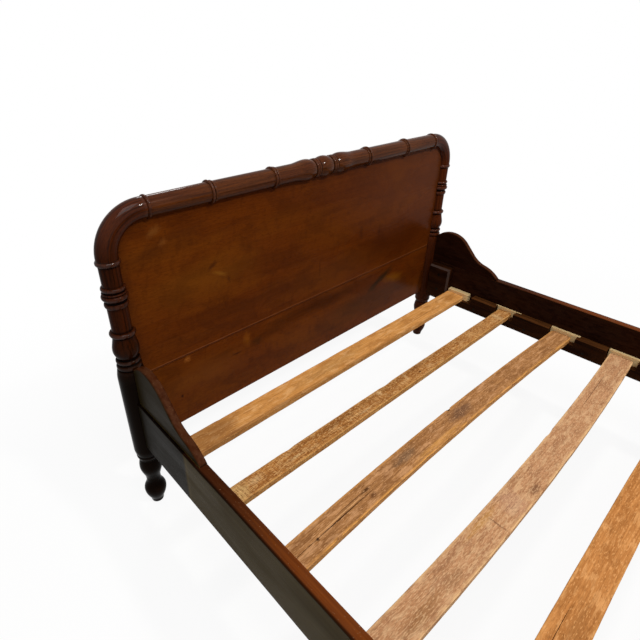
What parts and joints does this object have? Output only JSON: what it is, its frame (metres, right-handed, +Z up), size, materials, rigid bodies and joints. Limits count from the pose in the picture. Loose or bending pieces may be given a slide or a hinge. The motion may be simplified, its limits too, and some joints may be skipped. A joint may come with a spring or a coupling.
{
  "type": "turned wooden bed frame",
  "caption": "Turned wooden double bed frame with ringed rails, round elbows, boarded head and foot panels, scroll crests on the side rails and loose slats.",
  "frame": {"origin": "on the floor, at the middle of the bed's length and width", "axes": "+Z up, +Y towards the headboard, +X towards the right side of someone who looks from the foot to the head"},
  "size_m": [1.458, 2.052, 0.9428],
  "materials": {
    "turned_mahogany": "dark red-brown French polish",
    "panel_mahogany": "polished, lighter orange-brown",
    "rail_mahogany": "dark brown polish",
    "stained_hardwood": "dark stain, matt",
    "old_pine": "old sawn softwood, unfinished",
    "new_pine": "fresh pale pine, unfinished",
    "forged_iron": "dull dark iron",
    "screw_steel": "dull old steel",
    "dowel_wood": "plain birch"
  },
  "bodies": {
    "bedstead": {"head_post_left": "turned_mahogany", "head_post_right": "turned_mahogany", "head_elbow_left": "turned_mahogany", "head_elbow_right": "turned_mahogany", "head_top_rail": "turned_mahogany", "foot_post_left": "turned_mahogany", "foot_post_right": "turned_mahogany", "foot_elbow_left": "turned_mahogany", "foot_elbow_right": "turned_mahogany", "foot_top_rail": "turned_mahogany", "head_panel_upper": "panel_mahogany", "head_panel_lower": "panel_mahogany", "foot_panel_upper": "panel_mahogany", "foot_panel_lower": "panel_mahogany", "crest_head_left": "rail_mahogany", "crest_head_right": "rail_mahogany", "crest_foot_left": "rail_mahogany", "crest_foot_right": "rail_mahogany", "side_rail_left": "rail_mahogany", "side_rail_right": "rail_mahogany", "corner_block_head_left": "stained_hardwood", "corner_block_head_right": "stained_hardwood", "corner_block_foot_left": "stained_hardwood", "corner_block_foot_right": "stained_hardwood", "ledger_left": "stained_hardwood", "ledger_right": "stained_hardwood", "slat_pads_left": "new_pine", "slat_pads_right": "new_pine", "rail_plate_head_left": "forged_iron", "rail_plate_head_right": "forged_iron", "receiver_head_left": "forged_iron", "receiver_head_right": "forged_iron", "rail_plate_foot_left": "forged_iron", "rail_plate_foot_right": "forged_iron", "receiver_foot_left": "forged_iron", "receiver_foot_right": "forged_iron", "rail_plate_screws": "screw_steel", "receiver_screws": "screw_steel", "ledger_screws_left": "screw_steel", "ledger_screws_right": "screw_steel", "block_screws": "screw_steel", "crest_dowels": "dowel_wood"},
    "slat_1": {"slat_1": "old_pine"},
    "slat_2": {"slat_2": "old_pine"},
    "slat_3": {"slat_3": "old_pine"},
    "slat_4": {"slat_4": "old_pine"},
    "slat_5": {"slat_5": "old_pine"},
    "slat_6": {"slat_6": "old_pine"},
    "slat_7": {"slat_7": "old_pine"},
    "slat_8": {"slat_8": "old_pine"},
    "slat_9": {"slat_9": "old_pine"}
  },
  "joints": [
    {"name": "slat_1_lift", "type": "slide", "parent": "bedstead", "child": "slat_1", "axis": [0, 0, 1], "range_m": [0, 0.35]},
    {"name": "slat_2_lift", "type": "slide", "parent": "bedstead", "child": "slat_2", "axis": [0, 0, 1], "range_m": [0, 0.35]},
    {"name": "slat_3_lift", "type": "slide", "parent": "bedstead", "child": "slat_3", "axis": [0, 0, 1], "range_m": [0, 0.35]},
    {"name": "slat_4_lift", "type": "slide", "parent": "bedstead", "child": "slat_4", "axis": [0, 0, 1], "range_m": [0, 0.35]},
    {"name": "slat_5_lift", "type": "slide", "parent": "bedstead", "child": "slat_5", "axis": [0, 0, 1], "range_m": [0, 0.35]},
    {"name": "slat_6_lift", "type": "slide", "parent": "bedstead", "child": "slat_6", "axis": [0, 0, 1], "range_m": [0, 0.35]},
    {"name": "slat_7_lift", "type": "slide", "parent": "bedstead", "child": "slat_7", "axis": [0, 0, 1], "range_m": [0, 0.35]},
    {"name": "slat_8_lift", "type": "slide", "parent": "bedstead", "child": "slat_8", "axis": [0, 0, 1], "range_m": [0, 0.35]},
    {"name": "slat_9_lift", "type": "slide", "parent": "bedstead", "child": "slat_9", "axis": [0, 0, 1], "range_m": [0, 0.35]}
  ]
}
